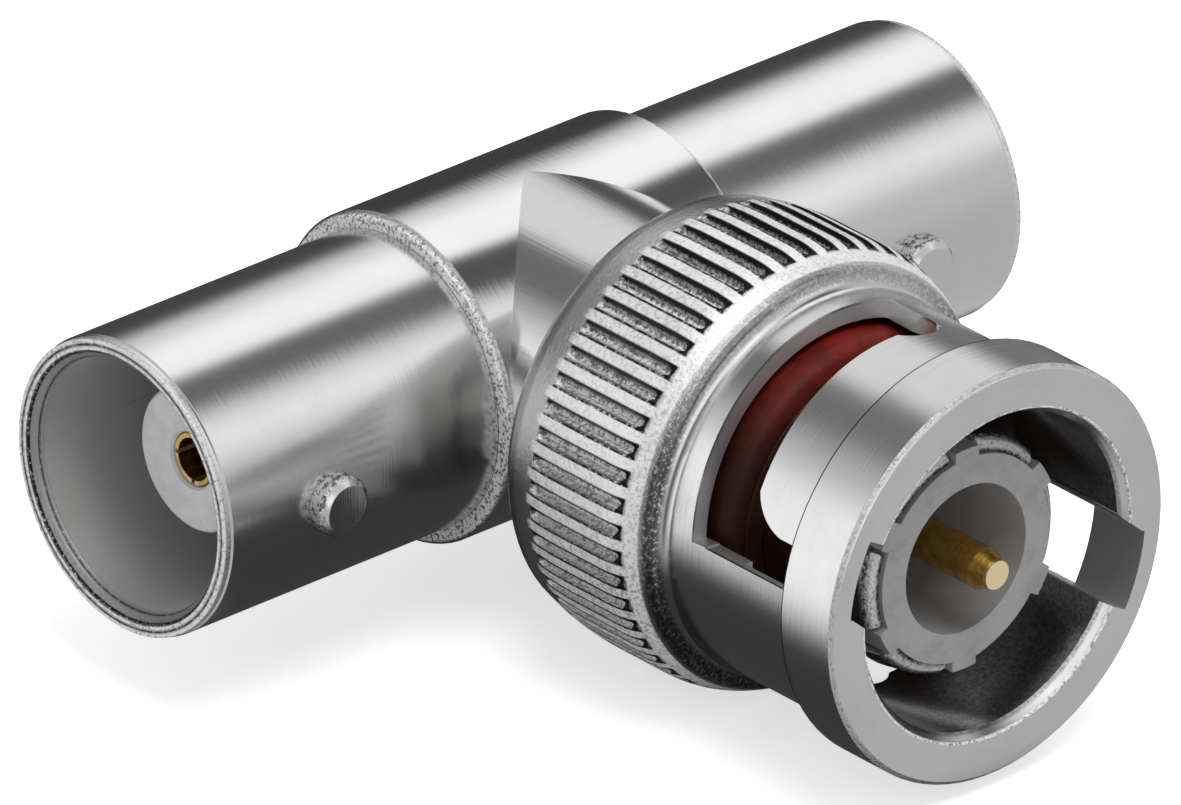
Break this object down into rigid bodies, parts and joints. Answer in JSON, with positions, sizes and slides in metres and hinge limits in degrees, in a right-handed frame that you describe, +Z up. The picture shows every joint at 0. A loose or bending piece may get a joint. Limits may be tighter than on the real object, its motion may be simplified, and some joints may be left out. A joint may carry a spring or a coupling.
{
  "type": "coaxial bayonet tee adapter",
  "caption": "Nickel-plated coaxial tee adapter with bayonet jacks in line and a bayonet plug with a knurled coupling nut across them.",
  "frame": {"origin": "on the plug's axis, in the plane of the face of the plug's front insulator, inside the pin's cylindrical length", "axes": "+X along the jacks' common axis, -Y along the plug's axis out of its mouth, +Z up, square to both axes"},
  "size_m": [0.0326, 0.027, 0.0146],
  "materials": {
    "body_plate": "bright nickel plate, turned, end faces grained",
    "shell_plate": "bright nickel plate, satin inside, rim grained",
    "lug_plate": "nickel plate, grained flank",
    "nut_plate": "nickel plate, knurl grained, ring and middle satin bright",
    "sleeve_plate": "nickel plate, bevelled finger tips grained",
    "gilt": "gold plate",
    "pin_gilt": "gold plate with fine turning marks",
    "white_insulator": "white, soft sheen",
    "grey_insulator": "pale grey, matte",
    "gasket_rubber": "dark red silicone, soft sheen",
    "spring_steel": "rolled strip"
  },
  "bodies": {
    "tee": {"tee_body": "body_plate", "left_jack_shell": "shell_plate", "right_jack_shell": "shell_plate", "left_bayonet_lugs": "lug_plate", "right_bayonet_lugs": "lug_plate", "left_jack_insulator": "white_insulator", "right_jack_insulator": "white_insulator", "left_core_bush": "white_insulator", "right_core_bush": "white_insulator", "left_socket_contact": "gilt", "right_socket_contact": "gilt", "cross_conductor": "gilt", "plug_pin": "pin_gilt", "plug_front_insulator": "grey_insulator", "plug_rear_insulator": "white_insulator", "plug_sleeve": "sleeve_plate", "gasket": "gasket_rubber", "wave_spring": "spring_steel", "rear_thrust_washer": "spring_steel"},
    "thrust_washer": {"front_thrust_washer": "spring_steel"},
    "nut": {"coupling_nut": "nut_plate"}
  },
  "joints": [
    {"name": "nut_float", "type": "slide", "parent": "tee", "child": "thrust_washer", "axis": [0, -1, 0], "range_m": [0, 0.0007], "stiffness_N_per_m": 8000, "springref_m": -0.0006, "deforming": ["wave_spring"]},
    {"name": "nut_turn", "type": "hinge", "parent": "thrust_washer", "child": "nut", "pos_m": [0, 0, 0], "axis": [0, -1, 0], "continuous": true}
  ]
}
